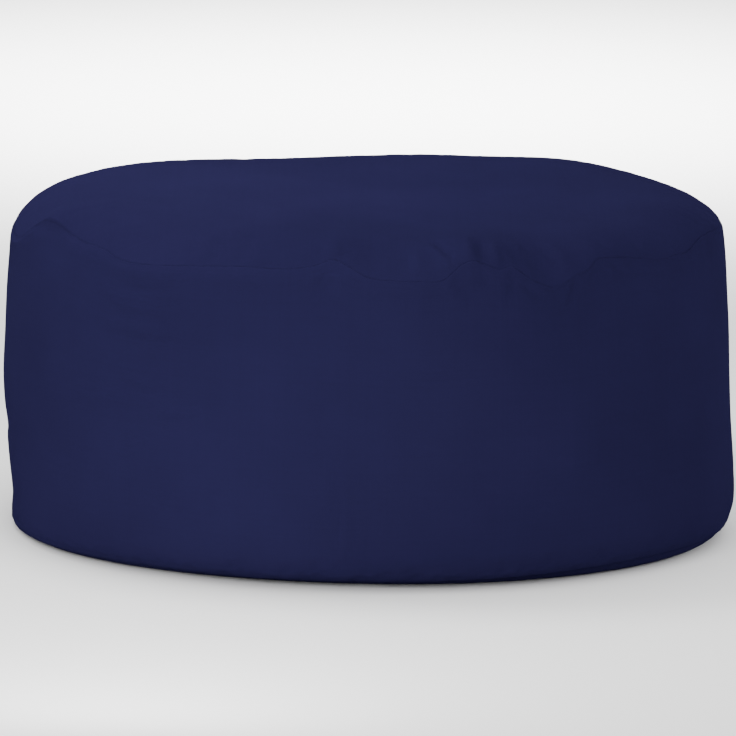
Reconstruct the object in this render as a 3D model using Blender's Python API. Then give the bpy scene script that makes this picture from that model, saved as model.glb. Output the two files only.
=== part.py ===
"""Round outdoor pouf: a low drum of navy canvas, stuffed full.

A maker cuts three pieces of cloth: a top disc, a bottom disc and one long side band.
Plain turned seams join each disc to the band, and the band is joined to itself at the back.
The stuffing pushes the band out past both seams, crowns the top disc and flattens the bottom
disc on the ground, where the pouf has settled a little towards its right-hand side.

X runs to the right, Y to the back and Z up. The origin is on the ground under the middle.
"""

import math
from collections import namedtuple

import bpy

MM = 0.001

# Driving sizes, in metres
BODY_RADIUS = 0.305
TOP_SEAM_HEIGHT = 0.2575
BOTTOM_SEAM_HEIGHT = 0.0035
CROWN_HEIGHT = 0.0235
CROWN_POWER = 13
CLOTH_THICKNESS = 0.002
SEAM_GAP = 0.0004
SEAM_VALLEY = 0.0012
BROAD_SPREAD = 16.0
TUCK_SPREAD = 5.0
TUCK_REACH = 0.045
PUCKER_REACH = 0.015
FLAT_SHARE = 0.94

# Mesh fineness
COLUMNS = 120
BAND_ROWS = 16
CANVAS_COLOUR = (0.0220, 0.0190, 0.0700, 1.0)
CANVAS_ROUGHNESS = 0.82

# How far each level of the band lies inside BODY_RADIUS on its four sides, in millimetres.
# share is the way down the band, from 0 at the top seam to 1 at the bottom seam.
Section = namedtuple("Section", "share left right front back")
BAND_SECTIONS = (
    Section(0.000, 10.4, 16.9, 16.0, 16.8),
    Section(0.012, 9.2, 15.8, 12.9, 13.6),
    Section(0.030, 8.2, 14.8, 9.8, 10.4),
    Section(0.060, 7.2, 13.2, 7.0, 7.4),
    Section(0.120, 6.0, 11.4, 4.6, 5.0),
    Section(0.220, 4.1, 9.9, 2.6, 3.2),
    Section(0.350, 2.3, 7.7, 1.0, 1.6),
    Section(0.500, 0.8, 6.3, 0.2, 0.6),
    Section(0.650, 3.7, 5.1, 0.2, 0.4),
    Section(0.800, 7.2, 2.5, 1.0, 2.0),
    Section(0.900, 9.7, 1.5, 3.4, 5.6),
    Section(0.955, 9.3, 5.1, 8.6, 12.0),
    Section(0.985, 9.3, 8.9, 17.0, 18.0),
    Section(1.000, 9.8, 10.9, 33.0, 23.0),
)

# Height of the top seam over its level, in millimetres, point by point. angle is in degrees
# round the pouf from the front, positive to the right.
SeamPoint = namedtuple("SeamPoint", "angle rise")
TOP_SEAM_POINTS = (
    SeamPoint(-176, -2.0),
    SeamPoint(-158, -1.5),
    SeamPoint(-140, 0.0),
    SeamPoint(-120, 3.8),
    SeamPoint(-108, 3.0),
    SeamPoint(-100, 0.0),
    SeamPoint(-92, -5.0),
    SeamPoint(-85, -9.0),
    SeamPoint(-79, -11.0),
    SeamPoint(-74.3, -7.0),
    SeamPoint(-71.6, -0.8),
    SeamPoint(-69.1, 8.5),
    SeamPoint(-67, 18.5),
    SeamPoint(-64.5, 24.5),
    SeamPoint(-62, 25.0),
    SeamPoint(-59.7, 18.0),
    SeamPoint(-57.5, 13.2),
    SeamPoint(-55.1, 8.6),
    SeamPoint(-51.1, 4.8),
    SeamPoint(-48.5, 3.4),
    SeamPoint(-46.1, 1.5),
    SeamPoint(-43.8, -2.4),
    SeamPoint(-41, -4.6),
    SeamPoint(-37, -4.8),
    SeamPoint(-31.5, -2.9),
    SeamPoint(-21, 0.5),
    SeamPoint(-12, 1.4),
    SeamPoint(-8.5, 4.4),
    SeamPoint(-6, 9.0),
    SeamPoint(-3.5, 4.2),
    SeamPoint(-0.5, -3.6),
    SeamPoint(3, -6.0),
    SeamPoint(7.5, -6.8),
    SeamPoint(11.5, -5.6),
    SeamPoint(14.2, 4.0),
    SeamPoint(16.4, 7.8),
    SeamPoint(18.5, 4.2),
    SeamPoint(20.7, 0.6),
    SeamPoint(23, 2.2),
    SeamPoint(25, -5.6),
    SeamPoint(27.3, -12.0),
    SeamPoint(29.5, -15.0),
    SeamPoint(31.8, -12.4),
    SeamPoint(34.2, -7.0),
    SeamPoint(36.5, -4.4),
    SeamPoint(38.6, 2.6),
    SeamPoint(41.8, 3.6),
    SeamPoint(44.5, 2.4),
    SeamPoint(47.4, 0.4),
    SeamPoint(50.4, -2.4),
    SeamPoint(54, -4.6),
    SeamPoint(58, -3.6),
    SeamPoint(62, -3.4),
    SeamPoint(65.5, 1.0),
    SeamPoint(69, 4.0),
    SeamPoint(73, 5.0),
    SeamPoint(80, 4.0),
    SeamPoint(100, 3.5),
    SeamPoint(120, 1.0),
    SeamPoint(138, 3.0),
    SeamPoint(154, -1.5),
    SeamPoint(168, 0.0),
)

# Where the bottom seam leaves its level, in millimetres up. spread is the half width.
SeamWave = namedtuple("SeamWave", "angle spread rise")
BOTTOM_SEAM_WAVES = (
    SeamWave(56, 30, 6.0),
    SeamWave(150, 30, 2.0),
    SeamWave(-120, 26, 1.5),
)

# Where the foot turns under more or less than its section says, in millimetres.
FootMark = namedtuple("FootMark", "angle spread draw")
FOOT_MARKS = (
    FootMark(-16, 34, 8.0),
    FootMark(58, 18, -2.0),
)

# Lumps and hollows of the stuffing under the top disc: place, half width and rise, in millimetres.
CrownLump = namedtuple("CrownLump", "right back spread rise")
CROWN_LUMPS = (
    CrownLump(-80, 230, 80, -3.0),
    CrownLump(110, 60, 110, 2.5),
    CrownLump(-130, -110, 80, 1.5),
    CrownLump(60, -170, 60, -1.5),
    CrownLump(150, 130, 130, 7.0),
    CrownLump(-150, 130, 130, 1.0),
)

# Lumps and soft creases of the band. level is the way down the band, along and across are the
# half lengths of the mark in millimetres, push is how far it stands out, and slant turns it.
BandMark = namedtuple("BandMark", "angle level along across push slant")
BAND_MARKS = (
    BandMark(-40, 0.28, 70, 45, 1.8, 0),
    BandMark(28, 0.60, 90, 60, 1.6, 0),
    BandMark(80, 0.72, 80, 55, 1.5, 0),
    BandMark(150, 0.45, 80, 60, -1.6, 0),
    BandMark(-150, 0.62, 90, 50, 1.8, 0),
    BandMark(-46, 0.56, 55, 7, -1.8, 6),
    BandMark(-36, 0.24, 42, 7, -1.5, -4),
    BandMark(-40, 0.41, 38, 7, -1.3, 9),
    BandMark(-88, 0.66, 30, 9, -2.0, 0),
    BandMark(14, 0.07, 7, 22, -2.2, 34),
    BandMark(23, 0.08, 7, 20, -2.0, -30),
    BandMark(33, 0.06, 8, 24, -2.6, -24),
    BandMark(-3, 0.80, 7, 30, -1.4, 0),
)

# The top seam's rise at each angle already read from TOP_SEAM_POINTS.
rises_found = {}

# Ring places on the two discs, as shares of the way from the middle to the seam.
TOP_RINGS = (0.45, 0.74, 0.85, 0.915, 0.96, 0.985, 1.0)
BOTTOM_RINGS = (FLAT_SHARE, 0.965, 0.985, 1.0)


def bell(distance):
    """A soft bump: 1 at no distance, 0 past about 2.5."""
    return math.exp(-distance * distance)


def turn_between(angle, other):
    """The signed angle from other to angle, in degrees, the short way round."""
    return (angle - other + 180) % 360 - 180


def side_weights(angle):
    """How much each side of the pouf counts at an angle from the front."""
    right = math.sin(math.radians(angle))
    back = -math.cos(math.radians(angle))
    return {
        "left": min(right, 0) ** 2,
        "right": max(right, 0) ** 2,
        "front": min(back, 0) ** 2,
        "back": max(back, 0) ** 2,
    }


def draw_in(share, angle):
    """How far the band lies inside BODY_RADIUS, in metres, read smoothly from BAND_SECTIONS."""
    weights = side_weights(angle)
    marks = [row.share for row in BAND_SECTIONS]
    values = [sum(getattr(row, side) * w for side, w in weights.items()) for row in BAND_SECTIONS]
    i = max(0, min(len(marks) - 2, sum(mark <= share for mark in marks) - 1))
    slopes = []
    for k in (i, i + 1):
        low, high = max(k - 1, 0), min(k + 1, len(marks) - 1)
        slopes.append((values[high] - values[low]) / (marks[high] - marks[low]))
    step = marks[i + 1] - marks[i]
    t = (share - marks[i]) / step
    start = (1 + 2 * t) * (1 - t) ** 2 * values[i] + t * (1 - t) ** 2 * step * slopes[0]
    end = t * t * (3 - 2 * t) * values[i + 1] + t * t * (t - 1) * step * slopes[1]
    return (start + end) * MM


def top_rise(angle):
    """Rise of the top seam at an angle, in metres, read smoothly from TOP_SEAM_POINTS."""
    angle = (angle + 180) % 360 - 180
    marks = [(p.angle + 360 * turn, p.rise) for turn in (-1, 0, 1) for p in TOP_SEAM_POINTS]
    i = max(k for k, mark in enumerate(marks) if mark[0] <= angle)
    (a0, r0), (a1, r1), (a2, r2), (a3, r3) = marks[i - 1:i + 3]
    step = a2 - a1
    t = (angle - a1) / step
    first, last = (r2 - r0) / (a2 - a0), (r3 - r1) / (a3 - a1)
    start = (1 + 2 * t) * (1 - t) ** 2 * r1 + t * (1 - t) ** 2 * step * first
    end = t * t * (3 - 2 * t) * r2 + t * t * (t - 1) * step * last
    return (start + end) * MM


def evened_rise(angle, spread):
    """The top seam's rise averaged over its neighbourhood, spread degrees to each side."""
    offsets = [spread * k / 5 for k in range(-12, 13)]
    weights = [bell(offset / spread) for offset in offsets]
    near = [top_rise(angle + offset) for offset in offsets]
    return sum(w * r for w, r in zip(weights, near)) / sum(weights)


def rise_parts(angle):
    """The top seam's rise as a broad swell, tucks and small puckers, kept for each angle."""
    key = round(angle, 3)
    if key not in rises_found:
        broad, evened = evened_rise(angle, BROAD_SPREAD), evened_rise(angle, TUCK_SPREAD)
        rises_found[key] = (broad, evened - broad, top_rise(angle) - evened)
    return rises_found[key]


def local_rise(angle, from_seam):
    """How far the tucks and puckers of the top seam still lift the cloth away from it."""
    _, tuck, pucker = rise_parts(angle)
    return tuck * math.exp(-from_seam / TUCK_REACH) + pucker * math.exp(-from_seam / PUCKER_REACH)


def bottom_seam(angle):
    """Height of the bottom seam at an angle, with its dips and rises."""
    waves = BOTTOM_SEAM_WAVES
    rise = sum(w.rise * bell(turn_between(angle, w.angle) / w.spread) for w in waves)
    return BOTTOM_SEAM_HEIGHT + rise * MM


def foot_draw(angle):
    """How much more than its section the foot turns under at an angle, in metres."""
    return sum(m.draw * bell(turn_between(angle, m.angle) / m.spread) for m in FOOT_MARKS) * MM


def band_push(share, angle):
    """How far the lumps and creases move the band outwards, in metres."""
    height = TOP_SEAM_HEIGHT - BOTTOM_SEAM_HEIGHT
    push = 0.0
    for mark in BAND_MARKS:
        along = math.radians(turn_between(angle, mark.angle)) * BODY_RADIUS / MM
        up = (mark.level - share) * height / MM
        c, s = math.cos(math.radians(mark.slant)), math.sin(math.radians(mark.slant))
        u = (along * c + up * s) / mark.along
        v = (up * c - along * s) / mark.across
        push += mark.push * math.exp(-u * u - v * v)
    held = min(1.0, share / 0.03, (1 - share) / 0.03)
    return push * held * MM


def place(angle, radius, height):
    """A point at an angle from the front, a distance from the axis and a height."""
    turn = math.radians(angle)
    return (radius * math.sin(turn), -radius * math.cos(turn), height)


def band_point(share, angle):
    """A point on the outside of the band."""
    low, high = bottom_seam(angle), TOP_SEAM_HEIGHT + rise_parts(angle)[0]
    from_top = share * (TOP_SEAM_HEIGHT - BOTTOM_SEAM_HEIGHT)
    turned_under = foot_draw(angle) * max(0.0, (share - 0.86) / 0.14) ** 2
    radius = BODY_RADIUS - draw_in(share, angle) + band_push(share, angle) - turned_under
    height = high + (low - high) * share + local_rise(angle, from_top)
    return place(angle, radius, height)


def top_radius(angle):
    return BODY_RADIUS - draw_in(0, angle)


def bottom_radius(angle):
    return BODY_RADIUS - draw_in(1, angle) - foot_draw(angle)


def crown(share, angle, sink):
    """A point on the top disc, sink below its outer face. share is 0 in the middle."""
    radius = top_radius(angle) * share
    x, y, _ = place(angle, radius, 0)
    rise = CROWN_HEIGHT * (1 - share**CROWN_POWER)
    for lump in CROWN_LUMPS:
        away = math.hypot(x / MM - lump.right, y / MM - lump.back) / lump.spread
        rise += lump.rise * MM * bell(away) * (1 - share**6)
    wave = rise_parts(angle)[0] * share**4 + local_rise(angle, (1 - share) * top_radius(angle))
    valley = SEAM_VALLEY * max(0.0, (share - 0.985) / 0.015)
    return place(angle, radius, TOP_SEAM_HEIGHT + rise + wave - valley - sink)


def underside(share, angle, lift):
    """A point on the bottom disc, lift above its outer face. It is flat up to FLAT_SHARE."""
    bend = max(0.0, (share - FLAT_SHARE) / (1 - FLAT_SHARE))
    height = (bottom_seam(angle) + SEAM_VALLEY) * (1 - math.sqrt(1 - bend * bend * 0.96)) / 0.8
    return place(angle, bottom_radius(angle) * share, height + lift)


def column_angles():
    return [360 * k / COLUMNS for k in range(COLUMNS)]


def ring(point_at):
    """One point for each column of the mesh."""
    return [point_at(angle) for angle in column_angles()]


def inset_share(radius_at, inset):
    """The share of a disc's radius that lies a small distance inside its seam."""
    return lambda angle: 1 - inset / radius_at(angle)


def loft(name, start, rings, end, shift, material):
    """One closed solid: a point or flat cap, rings joined in order, and a point or flat cap."""
    points = [point for one in rings for point in one]
    faces = []
    for row in range(len(rings) - 1):
        for k in range(COLUMNS):
            a, b = row * COLUMNS + k, row * COLUMNS + (k + 1) % COLUMNS
            c, d = b + COLUMNS, a + COLUMNS
            inward = math.hypot(*points[a][:2]) > math.hypot(*points[d][:2])
            faces += [(a, b, c), (a, c, d)] if inward else [(a, b, d), (b, c, d)]
    last = (len(rings) - 1) * COLUMNS
    for cap, base, turned in ((start, 0, True), (end, last, False)):
        rim = [base + k for k in range(COLUMNS)]
        if cap is None:
            faces.append(tuple(reversed(rim)) if turned else tuple(rim))
            continue
        points.append(cap)
        middle = len(points) - 1
        for k in range(COLUMNS):
            pair = (rim[k], rim[(k + 1) % COLUMNS])
            faces.append((middle, *(reversed(pair) if turned else pair)))
    mesh = bpy.data.meshes.new(name)
    mesh.from_pydata([tuple(c + s for c, s in zip(p, shift)) for p in points], [], faces)
    mesh.validate()
    mesh.materials.append(material)
    mesh.shade_smooth()
    mesh.set_sharp_from_angle(angle=math.radians(40))
    solid = bpy.data.objects.new(name, mesh)
    bpy.context.scene.collection.objects.link(solid)
    return solid


def canvas_material():
    """Matt navy outdoor canvas."""
    material = bpy.data.materials.new("navy_canvas")
    material.use_nodes = True
    shader = material.node_tree.nodes["Principled BSDF"]
    shader.inputs["Base Color"].default_value = CANVAS_COLOUR
    shader.inputs["Roughness"].default_value = CANVAS_ROUGHNESS
    shader.inputs["Metallic"].default_value = 0.0
    return material


def disc_rings(shares, point_at, radius_at, inset, offset):
    """The rings of a disc's face from the inside out, the last one inset from the seam."""
    edge = inset_share(radius_at, inset)
    rings = []
    for share in shares[:-1]:
        rings.append(ring(lambda angle, s=share: point_at(s, angle, offset)))
    rings.append(ring(lambda angle: point_at(edge(angle), angle, offset)))
    return rings


def make_top_panel(shift, material):
    """The top disc: a crowned sheet, its rim dipping into the seam."""
    outer = disc_rings(TOP_RINGS, crown, top_radius, SEAM_GAP, 0.0)
    inner = disc_rings(TOP_RINGS, crown, top_radius, SEAM_GAP, CLOTH_THICKNESS)
    start = crown(0, 0, 0.0)
    end = crown(0, 0, CLOTH_THICKNESS)
    return loft("top_panel", end, inner + outer[::-1], start, shift, material)


def make_bottom_panel(shift, material):
    """The bottom disc: flat on the ground, curling up to its seam."""
    outer = disc_rings(BOTTOM_RINGS, underside, bottom_radius, SEAM_GAP, 0.0)
    inner = disc_rings(BOTTOM_RINGS, underside, bottom_radius, SEAM_GAP, CLOTH_THICKNESS)
    return loft("bottom_panel", None, outer + inner[::-1], None, shift, material)


def make_filled_band(shift, material):
    """The side band with the stuffing inside it, recessed at both ends for the discs."""
    under = CLOTH_THICKNESS + SEAM_GAP
    ceiling = disc_rings(TOP_RINGS, crown, top_radius, 0.0, under)
    floor = disc_rings(BOTTOM_RINGS, underside, bottom_radius, 0.0, under)
    close_rows = [s.share for s in BAND_SECTIONS if s.share < 0.06 or s.share > 0.95]
    even_rows = [0.06 + (0.95 - 0.06) * k / BAND_ROWS for k in range(BAND_ROWS + 1)]
    shares = sorted(close_rows + even_rows)
    side = [ring(lambda angle, s=share: band_point(s, angle)) for share in shares]
    rings = floor + side[::-1] + ceiling[::-1]
    top = crown(0, 0, under)
    return loft("filled_band", None, rings, top, shift, material)


def footprint_shift():
    """Moves the pouf so that the origin is under the middle of its outline."""
    shares = [k / 40 for k in range(41)]
    points = [band_point(share, angle) for share in shares for angle in column_angles()]
    middle = [(min(p[i] for p in points) + max(p[i] for p in points)) / 2 for i in (0, 1)]
    return (-middle[0], -middle[1], 0.0)


def clear_scene():
    for thing in list(bpy.data.objects):
        bpy.data.objects.remove(thing)


def main():
    clear_scene()
    canvas = canvas_material()
    shift = footprint_shift()
    make_filled_band(shift, canvas)
    make_top_panel(shift, canvas)
    make_bottom_panel(shift, canvas)


main()
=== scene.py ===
import math
from collections import namedtuple

import bpy
import numpy as np
from mathutils import Matrix, Vector


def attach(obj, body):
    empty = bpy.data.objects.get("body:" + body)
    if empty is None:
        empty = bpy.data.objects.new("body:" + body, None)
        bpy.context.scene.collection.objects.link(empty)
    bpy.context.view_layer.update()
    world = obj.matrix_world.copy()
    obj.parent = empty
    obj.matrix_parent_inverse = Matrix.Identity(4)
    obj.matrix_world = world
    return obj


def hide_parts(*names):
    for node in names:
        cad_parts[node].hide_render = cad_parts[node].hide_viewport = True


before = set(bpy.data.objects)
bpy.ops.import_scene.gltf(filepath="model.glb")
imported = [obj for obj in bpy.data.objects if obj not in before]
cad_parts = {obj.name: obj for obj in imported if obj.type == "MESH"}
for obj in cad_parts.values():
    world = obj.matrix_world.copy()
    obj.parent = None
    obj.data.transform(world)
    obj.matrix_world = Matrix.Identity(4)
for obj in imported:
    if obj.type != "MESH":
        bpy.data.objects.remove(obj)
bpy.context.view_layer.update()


# Camera
# A long lens, six metres off and about ten degrees above the floor, as the photo's own
# perspective asks. It is turned a little, so that the pouf's right side sits lower.

CAMERA_AIM = Vector((-0.0011, 0.0, 0.1322))
CAMERA_DISTANCE = 6.0
CAMERA_ELEVATION = math.radians(9.554)
CAMERA_ROLL = math.radians(0.747)
CAMERA_LENS = 353.34

away = Vector((0, -math.cos(CAMERA_ELEVATION), math.sin(CAMERA_ELEVATION)))
level_right = Vector((1, 0, 0))
level_up = Vector((0, math.sin(CAMERA_ELEVATION), math.cos(CAMERA_ELEVATION)))
turned_right = level_right * math.cos(CAMERA_ROLL) + level_up * math.sin(CAMERA_ROLL)
turned_up = level_up * math.cos(CAMERA_ROLL) - level_right * math.sin(CAMERA_ROLL)
camera = bpy.data.objects.new("camera", bpy.data.cameras.new("camera"))
camera.data.lens = CAMERA_LENS
camera.data.sensor_width = 36
camera.data.clip_end = 50
axes = Matrix((turned_right, turned_up, away)).transposed().to_4x4()
camera.matrix_world = Matrix.Translation(CAMERA_AIM + away * CAMERA_DISTANCE) @ axes
bpy.context.scene.collection.objects.link(camera)
bpy.context.scene.camera = camera


# Side band
# One long strip of navy canvas, joined to itself at the back and stuffed hard, so that it
# bulges between its two seams, leans out at the lower right and turns under at the foot.

# Lengths are in millimetres. Angles are in degrees from the front, positive to the right.
MM = 0.001
BODY_RADIUS = 305.0
TOP_SEAM = 257.5
BOTTOM_SEAM = 3.5
COLUMNS = 640
TUCK = 5.0
TUCK_UNDER = 2.0
END_DEPTH = 2.0
FOOT_START = 0.86

# The seam's groove, and the stiff strip beside it where the cloth can't move far
BAND_GROOVE = 0.35
GROOVE_REACH = 2.6
STIFF_REACH = 7.0
STIFF_SHARE = 0.25

# The upright join at the back
JOIN_DEPTH = 1.1
JOIN_REACH = 2.5
JOIN_RIDGE = 0.5
JOIN_RIDGE_FROM = 7.0

# The stuffing's push on the cloth, which starts SWELL inside its shape, is longer than its
# seams by the share BAND_EASE and may move BAND_MOST_MOVED from its shape
SWELL = 2.0
PRESSURE = 4.0
SETTLING_FRAMES = 20
SKIN_ROWS = 60
BAND_EASE = 0.006
BAND_MOST_MOVED = 2.6

# How far the band lies inside BODY_RADIUS, from its top seam (share 0) to its bottom seam (1)
Section = namedtuple("Section", "share left right front back")
BAND_SECTIONS = (
    Section(0.000, 10.4, 16.9, 14.0, 16.8),
    Section(0.012, 9.2, 15.8, 11.4, 13.6),
    Section(0.030, 8.2, 14.8, 9.0, 10.4),
    Section(0.060, 7.2, 13.2, 6.8, 7.4),
    Section(0.120, 6.0, 11.4, 4.6, 5.0),
    Section(0.220, 4.1, 9.9, 2.6, 3.2),
    Section(0.350, 2.3, 7.7, 1.0, 1.6),
    Section(0.500, 0.8, 6.3, 0.2, 0.6),
    Section(0.650, 3.7, 5.1, 0.2, 0.4),
    Section(0.800, 7.2, 2.5, 1.0, 2.0),
    Section(0.900, 9.7, 1.5, 3.4, 5.6),
    Section(0.955, 9.3, 5.1, 8.6, 12.0),
    Section(0.985, 9.3, 8.9, 17.0, 18.0),
    Section(1.000, 9.8, 10.9, 33.0, 23.0),
)

# Where the foot turns under more or less than its section says
FootMark = namedtuple("FootMark", "angle spread draw")
FOOT_MARKS = (
    FootMark(-16, 34, 8.0),
    FootMark(58, 18, -2.0),
)

# Height of the top seam over TOP_SEAM: read off the photo on the front half
SeamPoint = namedtuple("SeamPoint", "angle rise")
TOP_SEAM_POINTS = (
    SeamPoint(-176, -2.0),
    SeamPoint(-158, -1.5),
    SeamPoint(-140, 0.0),
    SeamPoint(-120, 3.8),
    SeamPoint(-108, 3.0),
    SeamPoint(-100, 0.0),
    SeamPoint(-92, -5.0),
    SeamPoint(-85, -9.0),
    SeamPoint(-79, -10.0),
    SeamPoint(-74.3, -5.0),
    SeamPoint(-71.6, 0.5),
    SeamPoint(-69.1, 6.5),
    SeamPoint(-67, 11.6),
    SeamPoint(-64.5, 15.6),
    SeamPoint(-62, 16.4),
    SeamPoint(-59.7, 14.2),
    SeamPoint(-57.5, 11.6),
    SeamPoint(-55.1, 8.6),
    SeamPoint(-51.1, 4.8),
    SeamPoint(-48.5, 3.4),
    SeamPoint(-46.1, 1.5),
    SeamPoint(-43.8, -2.4),
    SeamPoint(-41, -4.6),
    SeamPoint(-37, -4.8),
    SeamPoint(-31.5, -2.9),
    SeamPoint(-21, 0.5),
    SeamPoint(-12, 1.4),
    SeamPoint(-8.5, 4.4),
    SeamPoint(-6, 9.0),
    SeamPoint(-3.5, 4.2),
    SeamPoint(-0.5, -3.6),
    SeamPoint(3, -6.0),
    SeamPoint(7.5, -6.8),
    SeamPoint(11.5, -5.6),
    SeamPoint(14.2, 4.0),
    SeamPoint(16.4, 7.8),
    SeamPoint(18.5, 4.2),
    SeamPoint(20.7, 0.6),
    SeamPoint(23, 2.2),
    SeamPoint(25, -5.6),
    SeamPoint(27.3, -12.0),
    SeamPoint(29.5, -15.0),
    SeamPoint(31.8, -12.4),
    SeamPoint(34.2, -7.0),
    SeamPoint(36.5, -4.4),
    SeamPoint(38.6, 2.6),
    SeamPoint(41.8, 3.6),
    SeamPoint(44.5, 2.4),
    SeamPoint(47.4, 0.4),
    SeamPoint(50.4, -2.4),
    SeamPoint(54, -4.6),
    SeamPoint(58, -3.6),
    SeamPoint(62, -3.4),
    SeamPoint(65.5, 1.0),
    SeamPoint(69, 4.0),
    SeamPoint(73, 5.0),
    SeamPoint(80, 4.0),
    SeamPoint(100, 3.5),
    SeamPoint(120, 1.0),
    SeamPoint(138, 3.0),
    SeamPoint(154, -1.5),
    SeamPoint(168, 0.0),
)

# The seam's rise is split into a broad part, tucks and puckers, and each reaches down the
# band and up the top as far as its own width
BROAD_SPREAD = 16.0
TUCK_SPREAD = 5.0
TUCK_REACH = 45.0
PUCKER_REACH = 18.0
ROLL_FOLLOW = 0.8
MOST_DIP = 15.0
MOST_PEAK = 8.0

# Where the bottom seam stands higher off the floor
SeamWave = namedtuple("SeamWave", "angle spread rise")
BOTTOM_SEAM_WAVES = (
    SeamWave(56, 30, 6.0),
    SeamWave(150, 30, 2.0),
    SeamWave(-120, 26, 1.5),
)

# angle and level place the middle of each lump or crease, along and across are its half
# sizes in millimetres, push is how far it stands out and slant turns it.
BandMark = namedtuple("BandMark", "angle level along across push slant")
BAND_LUMPS = (
    BandMark(-40, 0.28, 70, 45, 1.8, 0),
    BandMark(28, 0.60, 90, 60, 1.6, 0),
    BandMark(80, 0.72, 80, 55, 1.5, 0),
    BandMark(150, 0.45, 80, 60, -1.6, 0),
    BandMark(-150, 0.62, 90, 50, 1.8, 0),
    BandMark(-88, 0.66, 30, 9, -2.0, 0),
    BandMark(-60, 0.045, 22, 14, -2.2, 0),
    BandMark(-4, 0.52, 15, 90, 1.1, 2),
    BandMark(-46, 0.36, 12, 60, -1.0, -4),
)
BAND_CREASES = (
    BandMark(-38, 0.125, 36, 4.0, 1.6, -3),
    BandMark(-36, 0.075, 24, 3.6, -1.3, 4),
    BandMark(-39, 0.195, 26, 4.0, 1.4, 6),
    BandMark(-34, 0.230, 22, 3.6, -1.3, 2),
    BandMark(-41, 0.430, 48, 4.2, 1.7, 3),
    BandMark(-38, 0.385, 20, 4.4, -1.3, -8),
    BandMark(-30, 0.470, 22, 3.8, -1.3, 8),
    BandMark(-39, 0.580, 18, 4.4, 1.2, 20),
    BandMark(-33, 0.750, 16, 4.0, -0.8, -4),
    BandMark(-5, 0.680, 4.0, 18, -0.9, 2),
    BandMark(-3, 0.790, 4.5, 22, 1.1, -3),
    BandMark(12, 0.310, 26, 4.0, -0.9, 2),
    BandMark(14, 0.050, 4.0, 14, -1.2, 30),
    BandMark(22, 0.055, 4.0, 13, -1.1, -26),
    BandMark(33, 0.050, 4.5, 14, -1.3, -22),
    BandMark(128, 0.360, 40, 5.0, -1.2, 4),
    BandMark(-118, 0.300, 36, 5.0, -1.1, -5),
    BandMark(168, 0.650, 30, 5.0, 1.0, 6),
)

# Slight unevenness: how many waves are summed, how many turns each makes round the pouf and
# down it, and how high they are
Ripple = namedtuple("Ripple", "seed count turns rows size")
BAND_SWAY = Ripple(3, 12, (2, 11), (0.3, 1.6), 0.9)
BAND_GATHER = Ripple(5, 14, (38, 96), (-2.0, 2.0), 0.30)
BAND_STITCHES = Ripple(8, 10, (140, 190), (-1.0, 1.0), 0.16)
TOP_GATHER_REACH = 20.0
FOOT_GATHER_REACH = 16.0
FOOT_GATHER = 0.7
STITCH_REACH = 6.0

column_angles = np.arange(COLUMNS) * 360 / COLUMNS - 180


def bell(distance):
    """A soft bump: 1 at no distance, 0 past about 2.5."""
    return np.exp(-distance * distance)


def turn_between(angle, other):
    """The signed angle from other to angle, in degrees, the short way round."""
    return (angle - other + 180) % 360 - 180


def side_shares(angle):
    """How much the left, right, front and back sections count at an angle."""
    right, back = np.sin(np.radians(angle)), -np.cos(np.radians(angle))
    parts = (np.minimum(right, 0), np.maximum(right, 0), np.minimum(back, 0), np.maximum(back, 0))
    return np.array(parts) ** 2


def draw_in(share, angle):
    """How far the band lies inside BODY_RADIUS at rows of share and columns of angle."""
    marks = np.array([row.share for row in BAND_SECTIONS])
    values = np.array([row[1:] for row in BAND_SECTIONS]) @ side_shares(angle)
    last = len(marks) - 1
    i = np.clip(np.searchsorted(marks, share, side="right") - 1, 0, last - 1)

    def slope(k):
        low, high = np.maximum(k - 1, 0), np.minimum(k + 1, last)
        return (values[high] - values[low]) / (marks[high] - marks[low])[:, None]

    step = (marks[i + 1] - marks[i])[:, None]
    t = (share - marks[i])[:, None] / step
    start = (1 + 2 * t) * (1 - t) ** 2 * values[i] + t * (1 - t) ** 2 * step * slope(i)
    end = t * t * (3 - 2 * t) * values[i + 1] + t * t * (t - 1) * step * slope(i + 1)
    return start + end


def through_points(points, angle):
    """A smooth line round the pouf through points of angle and rise."""
    marks = np.array([p.angle for p in points])
    marks = np.concatenate([marks[-2:] - 360, marks, marks[:2] + 360])
    rises = np.array([p.rise for p in points])
    rises = np.concatenate([rises[-2:], rises, rises[:2]])
    slopes = np.gradient(rises, marks)
    i = np.clip(np.searchsorted(marks, angle, side="right") - 1, 0, len(marks) - 2)
    step = marks[i + 1] - marks[i]
    t = (angle - marks[i]) / step
    start = (1 + 2 * t) * (1 - t) ** 2 * rises[i] + t * (1 - t) ** 2 * step * slopes[i]
    return start + t * t * (3 - 2 * t) * rises[i + 1] + t * t * (t - 1) * step * slopes[i + 1]


def evened(values, spread):
    """Values at the column angles, smoothed round the pouf."""
    weights = bell(turn_between(column_angles[:, None], column_angles[None, :]) / spread)
    return weights @ values / weights.sum(1)


def ripples(ripple, angle, level):
    """Seamless unevenness: a sum of cosines with whole numbers of turns round the pouf."""
    source = np.random.default_rng(ripple.seed)
    total = 0
    for _ in range(ripple.count):
        turns = source.integers(*ripple.turns)
        rows = source.uniform(*ripple.rows)
        phase = source.uniform(0, 2 * math.pi)
        total = total + np.cos(np.radians(turns * angle) + rows * 2 * math.pi * level + phase)
    return ripple.size * total / math.sqrt(ripple.count)


def crease(u, v, push):
    """A soft fold: a crest with a shallower trough beside it, fading out at both ends."""
    return push * np.exp(-(u**4)) * (bell(v) - 0.55 * bell(v + 1.5))


def on_circle(radius, angle, height):
    """Points from a distance to the axis, an angle from the front and a height."""
    turn = np.radians(angle)
    spread = np.broadcast_arrays(radius * np.sin(turn), -radius * np.cos(turn), height)
    return np.stack(spread, axis=-1)


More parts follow.
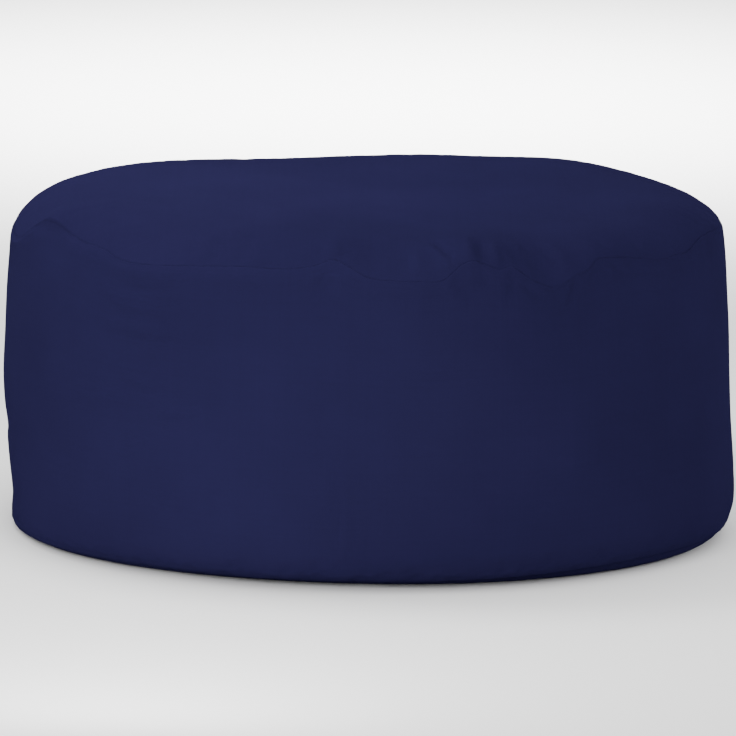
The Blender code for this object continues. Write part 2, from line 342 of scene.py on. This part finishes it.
def outward(points, downward_rows):
    """Unit normals of a grid of points whose columns run round the pouf."""
    round_it = np.roll(points, -1, axis=1) - np.roll(points, 1, axis=1)
    along = np.gradient(points, axis=0) * (-1 if downward_rows else 1)
    normal = np.cross(round_it, along)
    return normal / np.maximum(np.linalg.norm(normal, axis=-1, keepdims=True), 1e-9)


def settled(points, shares, rows, ease, most_moved):
    """How far stuffed cloth moves off the points it is cut to, with its first and last rows sewn.

    It is longer than its seams by ease, so it puckers beside them and bulges unevenly between
    them. The broad bulge is taken away again, because the sections hold it.
    """
    aim = points[rows][:, ::2]
    out = outward(aim, True)
    start = aim - out * SWELL
    start[[0, -1]] = aim[[0, -1]]
    count, columns = aim.shape[:2]
    this = np.arange(count * columns).reshape(count, columns)
    after = np.roll(this, -1, axis=1)
    sides = np.stack([this[1:], after[1:], after[:-1], this[:-1]], -1).reshape(-1, 4)
    mesh = bpy.data.meshes.new("skin")
    mesh.from_pydata((start.reshape(-1, 3) * MM).tolist(), [], sides.tolist())
    skin = bpy.data.objects.new("skin", mesh)
    bpy.context.scene.collection.objects.link(skin)
    sewn = skin.vertex_groups.new(name="sewn")
    sewn.add(this[[0, -1]].ravel().tolist(), 1.0, "REPLACE")
    cloth = skin.modifiers.new("cloth", "CLOTH")
    cloth.settings.vertex_group_mass = "sewn"
    cloth.settings.use_pressure = True
    cloth.settings.uniform_pressure_force = PRESSURE
    cloth.settings.effector_weights.gravity = 0
    cloth.settings.shrink_min = -ease
    cloth.settings.bending_stiffness = 0.1
    cloth.collision_settings.use_collision = False
    cloth.point_cache.frame_start = 1
    cloth.point_cache.frame_end = SETTLING_FRAMES
    for moment in range(1, SETTLING_FRAMES + 1):
        bpy.context.scene.frame_set(moment)
    at_rest = skin.evaluated_get(bpy.context.evaluated_depsgraph_get())
    places = np.empty(count * columns * 3, np.float32)
    at_rest.data.vertices.foreach_get("co", places)
    bpy.data.objects.remove(skin)
    bpy.context.scene.frame_set(1)
    moved = ((places.reshape(aim.shape) / MM - aim) * out).sum(-1)
    moved = np.clip(moved - moved.mean(1, keepdims=True), -most_moved, most_moved)
    between = (moved + np.roll(moved, -1, axis=1)) / 2
    wide = np.stack([moved, between], axis=-1).reshape(count, -1)
    marks = shares[rows]
    k = np.clip(np.searchsorted(marks, shares, side="right") - 1, 0, count - 2)
    t = np.clip((shares - marks[k]) / (marks[k + 1] - marks[k]), 0, 1)[:, None]
    return wide[k] * (1 - t) + wide[k + 1] * t


def loft(name, rings, cloth, start, end):
    """A closed mesh through rings of points, in millimetres, with a middle point at each end.

    cloth is each point's place on the flat cloth, with one more column than rings has.
    """
    count, columns = rings.shape[:2]
    this = np.arange(count * columns).reshape(count, columns)
    after = np.roll(this, -1, axis=1)
    sides = np.stack([this[:-1], after[:-1], after[1:], this[1:]], -1).reshape(-1, 4)
    low_fan = [(count * columns, after[0, k], this[0, k]) for k in range(columns)]
    high_fan = [(count * columns + 1, this[-1, k], after[-1, k]) for k in range(columns)]
    points = np.concatenate([rings.reshape(-1, 3), [start, end]]) * MM
    mesh = bpy.data.meshes.new(name)
    mesh.from_pydata(points.tolist(), [], sides.tolist() + low_fan + high_fan)
    corner = [cloth[:-1, :-1], cloth[:-1, 1:], cloth[1:, 1:], cloth[1:, :-1]]
    low_middle = np.broadcast_to(cloth[0].mean(0), (columns, 2))
    high_middle = np.broadcast_to(cloth[-1].mean(0), (columns, 2))
    places = np.concatenate([
        np.stack(corner, axis=2).reshape(-1, 2),
        np.stack([low_middle, cloth[0, 1:], cloth[0, :-1]], axis=1).reshape(-1, 2),
        np.stack([high_middle, cloth[-1, :-1], cloth[-1, 1:]], axis=1).reshape(-1, 2),
    ])
    mesh.uv_layers.new(name="cloth").data.foreach_set("uv", (places * MM).ravel())
    mesh.shade_smooth()
    piece = bpy.data.objects.new(name, mesh)
    bpy.context.scene.collection.objects.link(piece)
    return piece


def linear(hex_colour):
    """A six-figure colour as shown on a screen, turned into the light it stands for."""
    parts = [int(hex_colour[i:i + 2], 16) / 255 for i in (0, 2, 4)]
    return [c / 12.92 if c <= 0.04045 else ((c + 0.055) / 1.055) ** 2.4 for c in parts] + [1.0]


def node(tree, kind, inputs=(), **settings):
    """Adds a node, sets it up, and links or sets each of its inputs."""
    made = tree.nodes.new(kind)
    for key, value in settings.items():
        setattr(made, key, value)
    for key, value in dict(inputs).items():
        if isinstance(value, bpy.types.NodeSocket):
            tree.links.new(value, made.inputs[key])
        else:
            made.inputs[key].default_value = value
    return made


def sum_of(tree, operation, a, b=0.0, c=0.0):
    """The result of one sum on up to three values."""
    return node(tree, "ShaderNodeMath", {0: a, 1: b, 2: c}, operation=operation).outputs[0]


def scaled(tree, vector, factor):
    """A vector or colour times a factor."""
    sizes = {0: vector, "Scale": factor}
    return node(tree, "ShaderNodeVectorMath", sizes, operation="SCALE").outputs[0]


def canvas(name, yarn="1f1c3c", painted_gap_shade="15142b", pitch=0.0007):
    """Plain-woven outdoor canvas: matt navy yarns a pitch apart, with painted shade in the gaps between
    them.
    """
    material = bpy.data.materials.new(name)
    material.use_nodes = True
    tree = material.node_tree
    shader = tree.nodes["Principled BSDF"]

    # Yarns run along both axes of the flat cloth, and sway a little. Which one is on top
    # alternates like a chessboard.
    cloth = node(tree, "ShaderNodeUVMap", uv_map="cloth").outputs["UV"]
    sway = node(tree, "ShaderNodeTexNoise", {"Vector": cloth, "Scale": 60.0, "Detail": 2.0})
    shift = node(tree, "ShaderNodeVectorMath", {0: sway.outputs["Color"], 1: (-0.5, -0.5, -0.5)})
    shift = scaled(tree, shift.outputs[0], 0.0009)
    place = node(tree, "ShaderNodeVectorMath", {0: cloth, 1: shift})
    split = node(tree, "ShaderNodeSeparateXYZ", {0: scaled(tree, place.outputs[0], 1 / pitch)})
    x, y = split.outputs["X"], split.outputs["Y"]
    across_x = sum_of(tree, "ABSOLUTE", sum_of(tree, "SINE", sum_of(tree, "MULTIPLY", x, math.pi)))
    across_y = sum_of(tree, "ABSOLUTE", sum_of(tree, "SINE", sum_of(tree, "MULTIPLY", y, math.pi)))
    floor_x, floor_y = sum_of(tree, "FLOOR", x), sum_of(tree, "FLOOR", y)
    over = sum_of(tree, "PINGPONG", sum_of(tree, "ADD", floor_x, floor_y), 1.0)
    warp = sum_of(tree, "MULTIPLY", across_x, sum_of(tree, "MULTIPLY_ADD", across_y, 0.45, 0.55))
    weft = sum_of(tree, "MULTIPLY", across_y, sum_of(tree, "MULTIPLY_ADD", across_x, 0.45, 0.55))
    height = node(tree, "ShaderNodeMix", {"Factor": over, "A": warp, "B": weft}).outputs["Result"]

    # Each yarn takes the dye a little differently, and so does the cloth from place to place
    warp_count, weft_count = {"W": floor_x}, {"W": sum_of(tree, "ADD", floor_y, 0.37)}
    warp_tone = node(tree, "ShaderNodeTexWhiteNoise", warp_count, noise_dimensions="1D").outputs[0]
    weft_tone = node(tree, "ShaderNodeTexWhiteNoise", weft_count, noise_dimensions="1D").outputs[0]
    tone = node(tree, "ShaderNodeMix", {"Factor": over, "A": warp_tone, "B": weft_tone})
    tones = {"Value": tone.outputs["Result"], "To Min": 0.97, "To Max": 1.03}
    level = node(tree, "ShaderNodeMapRange", tones)
    patches = {"Vector": cloth, "Scale": 7.0, "Detail": 3.0, "Roughness": 0.55}
    cloud = node(tree, "ShaderNodeTexNoise", patches).outputs["Fac"]
    clouds = {"Value": cloud, "From Min": 0.3, "From Max": 0.7, "To Min": 0.94, "To Max": 1.06}
    cloudy = node(tree, "ShaderNodeMapRange", clouds)
    bright = sum_of(tree, "MULTIPLY", level.outputs[0], cloudy.outputs[0])
    # Painted shade: the weave's low places between the yarns take the darker gap colour
    colours = {"Factor": height, "A": linear(painted_gap_shade), "B": linear(yarn)}
    colour = node(tree, "ShaderNodeMix", colours, data_type="RGBA").outputs["Result"]
    tree.links.new(scaled(tree, colour, bright), shader.inputs["Base Color"])

    # Finish: matt, with a faint bloom of loose fibres at low angles
    handled = node(tree, "ShaderNodeTexNoise", {"Vector": cloth, "Scale": 160.0, "Detail": 3.0})
    matt_range = {"Value": handled.outputs["Fac"], "To Min": 0.80, "To Max": 0.95}
    rough = node(tree, "ShaderNodeMapRange", matt_range)
    tree.links.new(rough.outputs[0], shader.inputs["Roughness"])
    shader.inputs["Specular IOR Level"].default_value = 0.0
    shader.inputs["Diffuse Roughness"].default_value = 0.6
    shader.inputs["Sheen Weight"].default_value = 0.012
    shader.inputs["Sheen Roughness"].default_value = 0.18
    shader.inputs["Sheen Tint"].default_value = linear("8f97d6")

    # Relief: soft crumple under the weave
    soft = {"Height": handled.outputs["Fac"], "Strength": 0.35, "Distance": 0.0003}
    crumple = node(tree, "ShaderNodeBump", soft).outputs[0]
    fine = {"Height": height, "Strength": 0.7, "Distance": 0.00012, "Normal": crumple}
    weave = node(tree, "ShaderNodeBump", fine)
    tree.links.new(weave.outputs[0], shader.inputs["Normal"])
    return material


seam_rise = through_points(TOP_SEAM_POINTS, column_angles)
broad_rise = evened(seam_rise, BROAD_SPREAD)
tuck_rise = evened(seam_rise, TUCK_SPREAD) - broad_rise
pucker_rise = seam_rise - broad_rise - tuck_rise
bottom_seam = BOTTOM_SEAM + sum(
    wave.rise * bell(turn_between(column_angles, wave.angle) / wave.spread) for wave in BOTTOM_SEAM_WAVES
)
foot_draw = sum(
    mark.draw * bell(turn_between(column_angles, mark.angle) / mark.spread) for mark in FOOT_MARKS
)
band_height = TOP_SEAM - BOTTOM_SEAM

# The rows of points lie closer together near both seams
band_share = np.concatenate([
    np.linspace(0, 0.05, 13)[:-1],
    np.linspace(0.05, 0.95, 112)[:-1],
    np.linspace(0.95, 1, 14),
])
foot_turn = np.clip((band_share - FOOT_START) / (1 - FOOT_START), 0, 1)[:, None] ** 2
share = band_share[:, None]
angle = column_angles[None, :]
from_top, from_bottom = share * band_height, (1 - share) * band_height
seam_line = TOP_SEAM + broad_rise
level = seam_line + (bottom_seam - seam_line) * share
local_rise = tuck_rise * np.exp(-from_top / TUCK_REACH) + pucker_rise * np.exp(-from_top / PUCKER_REACH)
level = level + local_rise

# Where the seam dips it lies further out on the rolled edge, and where it peaks further in.
# above_seam carries the roll's own slope on past the seam.
drawn = draw_in(band_share, column_angles)
place = share - ROLL_FOLLOW * np.clip(local_rise, -MOST_DIP, MOST_PEAK) / band_height
above_seam = np.minimum(place, 0) * (drawn[3] - drawn[0]) / band_share[3]
drawn = np.stack([np.interp(place[:, k], band_share, drawn[:, k]) for k in range(COLUMNS)], axis=1)
band_radius = BODY_RADIUS - drawn - above_seam - foot_draw * foot_turn
footprint = on_circle(band_radius, column_angles, 0)
middle = (footprint.min((0, 1)) + footprint.max((0, 1))) / 2
band = on_circle(band_radius, angle, level)
skin_rows = np.linspace(0, len(band_share) - 1, SKIN_ROWS).astype(int)
push = settled(band, band_share, skin_rows, BAND_EASE, BAND_MOST_MOVED)
push = push + ripples(BAND_SWAY, angle, share)
for mark in BAND_LUMPS + BAND_CREASES:
    along = np.radians(turn_between(angle, mark.angle)) * BODY_RADIUS
    up = (mark.level - share) * band_height
    c, s = math.cos(math.radians(mark.slant)), math.sin(math.radians(mark.slant))
    u, v = (along * c + up * s) / mark.along, (up * c - along * s) / mark.across
    if mark in BAND_LUMPS:
        push = push + mark.push * np.exp(-u * u - v * v)
    elif mark.along < mark.across:
        push = push + crease(v, u, mark.push)
    else:
        push = push + crease(u, v, mark.push)
gathered = np.exp(-from_top / TOP_GATHER_REACH) + FOOT_GATHER * np.exp(-from_bottom / FOOT_GATHER_REACH)
push = push + gathered * ripples(BAND_GATHER, angle, share)
stitched = np.exp(-from_top / STITCH_REACH) + np.exp(-from_bottom / STITCH_REACH)
push = push + stitched * ripples(BAND_STITCHES, angle, share)
free = np.clip(np.minimum(from_top, from_bottom) / STIFF_REACH, 0, 1)
push = push * (STIFF_SHARE + (1 - STIFF_SHARE) * free)
push = push - BAND_GROOVE * (bell(from_top / GROOVE_REACH) + bell(from_bottom / GROOVE_REACH))
join = np.radians(turn_between(angle, 180)) * BODY_RADIUS
push = push - JOIN_DEPTH * bell(join / JOIN_REACH)
push = push + JOIN_RIDGE * bell(np.abs(join / JOIN_RIDGE_FROM) - 1)
band = band + outward(band, True) * push[..., None] - middle

# Both ends are tucked in behind the discs and closed
seam_in = band[0] - on_circle(TUCK, column_angles, TUCK)
seam_under = band[-1] - on_circle(TUCK, column_angles, -TUCK_UNDER)
band_rings = np.concatenate([seam_under[None], band[::-1], seam_in[None]])
run = np.radians(np.append(column_angles, 180)) * BODY_RADIUS
heights = np.concatenate([[-TUCK], (1 - band_share[::-1]) * band_height, [band_height + TUCK]])
band_cloth = np.stack(np.broadcast_arrays(run[None, :], heights[:, None]), axis=-1)
low_middle = [0, 0, float(seam_under[:, 2].mean())]
high_middle = [0, 0, TOP_SEAM - END_DEPTH]
pouf_band = loft("pouf_band", band_rings, band_cloth, low_middle, high_middle)
pouf_band.data.materials.append(canvas("band_navy_canvas"))
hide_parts("filled_band")
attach(pouf_band, "root")


# Top disc
# One round of the same canvas, pushed up into a low crown by the stuffing. Its rim turns
# down into the plain seam, which gathers it into a few small tucks at the front right.

CROWN = 23.5
CROWN_POWER = 13
CANVAS_THICKNESS = 1.2
RIM_INSET = 0.4
RIM_DROP = 2.5
RIM_EDGE = 0.3
TOP_RINGS = 84
INNER_RINGS = 35
INNERMOST = 0.03
FINE_FROM = 0.80
UNDER_RINGS = [0, 20, 40, 60, 75]
TOP_EASE = 0.002
TOP_MOST_MOVED = 1.5
TOP_SETTLED = 0.7
TOP_SWAY = Ripple(11, 10, (2, 9), (0.3, 1.4), 0.9)
TOP_GATHER = Ripple(17, 14, (38, 96), (-2.0, 2.0), 0.30)
TOP_STITCHES = Ripple(19, 10, (140, 190), (-1.0, 1.0), 0.16)
RIM_GATHER_REACH = 22.0

# right and back place each lump or fold on the disc; the rest is as for the band's marks
Tuck = namedtuple("Tuck", "right back along across push turn")
CROWN_LUMPS = (
    Tuck(-80, 230, 80, 80, -3.0, 0),
    Tuck(110, 60, 110, 110, 2.5, 0),
    Tuck(-130, -110, 80, 80, 1.5, 0),
    Tuck(60, -170, 60, 60, -1.5, 0),
    Tuck(150, 130, 130, 130, 7.0, 0),
    Tuck(-150, 130, 130, 130, 1.0, 0),
)
TOP_TUCKS = (
    Tuck(58, -262, 15, 3.6, -1.9, -59),
    Tuck(57, -279, 9, 4.5, 1.0, 8),
    Tuck(36, -277, 10, 4.0, 0.8, -84),
    Tuck(85, -256, 17, 4.8, -1.4, -86),
    Tuck(98, -260, 15, 5.0, 2.3, -80),
    Tuck(115, -235, 9, 5.5, 1.0, -60),
    Tuck(147, -227, 15, 5.0, 1.7, -50),
    Tuck(-25, -282, 12, 3.4, -1.1, 38),
    Tuck(-262, -80, 20, 6.0, -1.4, 20),
    Tuck(100, -20, 100, 30, -0.9, 86),
    Tuck(100, 118, 60, 26, -1.2, 70),
)

ring_share = np.concatenate([
    np.linspace(INNERMOST, FINE_FROM, INNER_RINGS + 1)[:-1],
    np.linspace(FINE_FROM, 1, TOP_RINGS - INNER_RINGS),
])
rim_radius = BODY_RADIUS - draw_in(np.array([0.0]), column_angles)[0]
share = ring_share[:, None]
from_seam = (1 - share) * rim_radius
rim_shift = (band_radius[0] - rim_radius) * np.exp(-from_seam / PUCKER_REACH)
top = on_circle(rim_radius * share + rim_shift, angle, 0)
rise = CROWN * (1 - share**CROWN_POWER)
for lump in CROWN_LUMPS:
    away_from = np.hypot(top[..., 0] - lump.right, top[..., 1] - lump.back) / lump.along
    rise = rise + lump.push * bell(away_from) * (1 - share**6)
local_rise = tuck_rise * np.exp(-from_seam / TUCK_REACH) + pucker_rise * np.exp(-from_seam / PUCKER_REACH)
top[..., 2] = TOP_SEAM + rise + broad_rise * share**4 + local_rise

# The stuffing moves the outer part of the disc only
skin_rows = np.concatenate([np.arange(12, INNER_RINGS), np.arange(INNER_RINGS, TOP_RINGS, 4)])
push = TOP_SETTLED * settled(top, ring_share, skin_rows, TOP_EASE, TOP_MOST_MOVED) * share**5
push = push + ripples(TOP_SWAY, angle, share) * share**2 * (1 - share**8)
for tuck in TOP_TUCKS:
    right, back = top[..., 0] - tuck.right, top[..., 1] - tuck.back
    c, s = math.cos(math.radians(tuck.turn)), math.sin(math.radians(tuck.turn))
    u, v = (right * c + back * s) / tuck.along, (back * c - right * s) / tuck.across
    push = push + crease(u, v, tuck.push)
push = push + np.exp(-from_seam / RIM_GATHER_REACH) * ripples(TOP_GATHER, angle, share)
push = push + np.exp(-from_seam / STITCH_REACH) * ripples(TOP_STITCHES, angle, share)
push = push * (STIFF_SHARE + (1 - STIFF_SHARE) * np.clip(from_seam / STIFF_REACH, 0, 1))
push = push - BAND_GROOVE * bell(from_seam / GROOVE_REACH)
top = top + outward(top, True) * push[..., None] - middle

# The cloth's lower face follows coarsely; the rim turns down behind the seam
under = top - [0, 0, CANVAS_THICKNESS]
rim_in = top[-1] - on_circle(RIM_INSET, column_angles, RIM_DROP)
rim_rings = np.stack([rim_in - [0, 0, RIM_EDGE], rim_in])
top_rings = np.concatenate([under[UNDER_RINGS], rim_rings, top[::-1]])
planar = top_rings[..., :2]
top_cloth = np.concatenate([planar, planar[:, :1]], axis=1)
top_middle = [float(c) for c in top[0].mean(0)]
under_middle = [top_middle[0], top_middle[1], top_middle[2] - CANVAS_THICKNESS]
pouf_top = loft("pouf_top", top_rings, top_cloth, under_middle, top_middle)
pouf_top.data.materials.append(canvas("top_navy_canvas"))
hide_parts("top_panel")
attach(pouf_top, "root")


# Bottom disc
# One round of the same canvas, pressed flat on the floor by the pouf's weight and curling
# up at its edge into the lower seam.

FLAT_SHARE = 0.94
CURL = 0.96
LAP = 0.8
FOOT_GAP = 0.3
BOTTOM_SHARES = np.array([0.10, 0.50, 0.85, FLAT_SHARE, 0.955, 0.965, 0.975, 0.985, 0.993, 1.0])

foot_radius = band_radius[-1] - FOOT_GAP
share = BOTTOM_SHARES[:, None]
bend = np.clip((share - FLAT_SHARE) / (1 - FLAT_SHARE), 0, 1)
curl = (bottom_seam + LAP) * (1 - np.sqrt(1 - CURL * bend**2)) / (1 - math.sqrt(1 - CURL))
bottom = on_circle(foot_radius * share, angle, curl) - [middle[0], middle[1], 0]
inside = bottom[::-1] + [0, 0, CANVAS_THICKNESS]
bottom_rings = np.concatenate([bottom, inside])
planar = bottom_rings[..., :2]
bottom_cloth = np.concatenate([planar, planar[:, :1]], axis=1)
outer_middle = [float(c) for c in bottom[0].mean(0)]
inner_middle = [outer_middle[0], outer_middle[1], outer_middle[2] + CANVAS_THICKNESS]
pouf_bottom = loft("pouf_bottom", bottom_rings, bottom_cloth, outer_middle, inner_middle)
pouf_bottom.data.materials.append(canvas("bottom_navy_canvas"))
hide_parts("bottom_panel")
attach(pouf_bottom, "root")


# Floor
# A plain white studio floor that runs out of the picture on every side.

FLOOR_HALF = 14.0
floor_mesh = bpy.data.meshes.new("studio_floor")
corners = [(x * FLOOR_HALF, y * FLOOR_HALF, 0) for x, y in ((-1, -1), (1, -1), (1, 1), (-1, 1))]
floor_mesh.from_pydata(corners, [], [(0, 1, 2, 3)])
studio_floor = bpy.data.objects.new("studio_floor", floor_mesh)
bpy.context.scene.collection.objects.link(studio_floor)
floor_paint = bpy.data.materials.new("white_studio_floor")
floor_paint.use_nodes = True
paint = floor_paint.node_tree.nodes["Principled BSDF"]
floor_tree = floor_paint.node_tree
mottle = node(floor_tree, "ShaderNodeTexNoise", {"Scale": 3.0, "Detail": 2.0})
shades = {"Value": mottle.outputs["Fac"], "To Min": 0.90, "To Max": 0.93}
shade = node(floor_tree, "ShaderNodeMapRange", shades)
floor_tree.links.new(shade.outputs[0], paint.inputs["Base Color"])
paint.inputs["Roughness"].default_value = 0.9
paint.inputs["Specular IOR Level"].default_value = 0.1
floor_mesh.materials.append(floor_paint)


# Lights
# White surroundings, soft lamps in front and to the left, one above and one on the right.
# A further lamp keeps the floor behind the pouf white.

Light = namedtuple("Light", "name place aim size power spread")
LIGHTS = (
    Light("near_front", (-0.32, -1.00, 0.35), (-0.10, -0.20, 0.14), 0.30, 2.6, 180),
    Light("low_front", (-0.18, -0.80, 0.22), (-0.12, -0.28, 0.14), 0.25, 1.5, 180),
    Light("front_left", (-0.85, -2.90, 0.50), (0.00, -0.20, 0.12), 0.90, 9.0, 180),
    Light("overhead", (-0.25, -0.10, 0.80), (-0.10, 0.00, 0.28), 0.30, 4.3, 180),
    Light("right_side", (1.60, -0.10, 0.45), (0.20, 0.00, 0.14), 0.60, 5.0, 180),
    Light("backdrop", (0.00, 2.40, 2.00), (0.00, 2.80, 0.00), 1.50, 75.0, 70),
)
for light in LIGHTS:
    lamp = bpy.data.lights.new(light.name, "AREA")
    lamp.shape = "DISK"
    lamp.size = light.size
    lamp.energy = light.power
    lamp.spread = math.radians(light.spread)
    holder = bpy.data.objects.new(light.name, lamp)
    holder.location = light.place
    towards = Vector(light.aim) - Vector(light.place)
    holder.rotation_euler = towards.to_track_quat("-Z", "Y").to_euler()
    bpy.context.scene.collection.objects.link(holder)

world = bpy.data.worlds.new("white_room")
world.use_nodes = True
world.node_tree.nodes["Background"].inputs["Color"].default_value = (1, 1, 1, 1)
world.node_tree.nodes["Background"].inputs["Strength"].default_value = 1.6
bpy.context.scene.world = world
